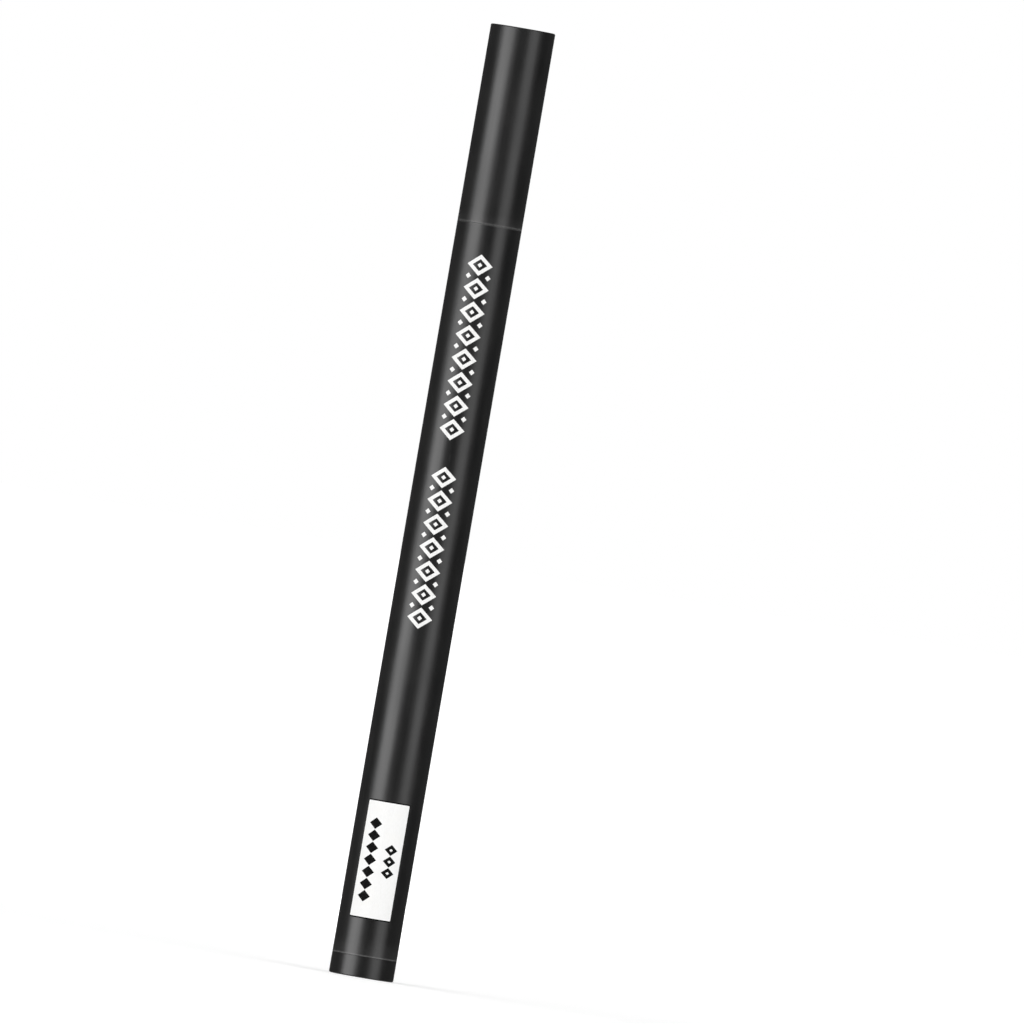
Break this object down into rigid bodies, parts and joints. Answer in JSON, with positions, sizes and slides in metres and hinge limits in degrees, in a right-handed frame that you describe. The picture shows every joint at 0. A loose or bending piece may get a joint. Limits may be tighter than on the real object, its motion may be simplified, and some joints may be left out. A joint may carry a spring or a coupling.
{
  "type": "fabric marker",
  "caption": "Slim round felt-tip fabric marker with a pull-off cap as thick as the barrel, a waisted front section, a pointed fibre nib and a paper label.",
  "frame": {"origin": "centre of the end plug's flat rear face, which is the bottom of the upright pen", "axes": "+Z along the pen's axis from the end plug to the cap's closed end, -Y out of the middle of the label, +X to the right of someone reading the label"},
  "size_m": [0.0094, 0.0096, 0.14],
  "materials": {
    "black_plastic": "satin moulded black",
    "inked_fibre": "fibre soaked in blue-black ink",
    "clear_film": "thin milky film",
    "label_paper": "white matt coated paper",
    "liner_plastic": "unpigmented soft plastic"
  },
  "bodies": {
    "pen": {"barrel": "black_plastic", "end_plug": "black_plastic", "front_section": "black_plastic", "nib": "inked_fibre", "reservoir_core": "inked_fibre", "reservoir_film": "clear_film", "label": "label_paper"},
    "cap": {"cap_shell": "black_plastic", "cap_liner": "liner_plastic"}
  },
  "joints": [
    {"name": "cap_pull", "type": "slide", "parent": "pen", "child": "cap", "axis": [0, 0, 1], "range_m": [0, 0.04]}
  ]
}
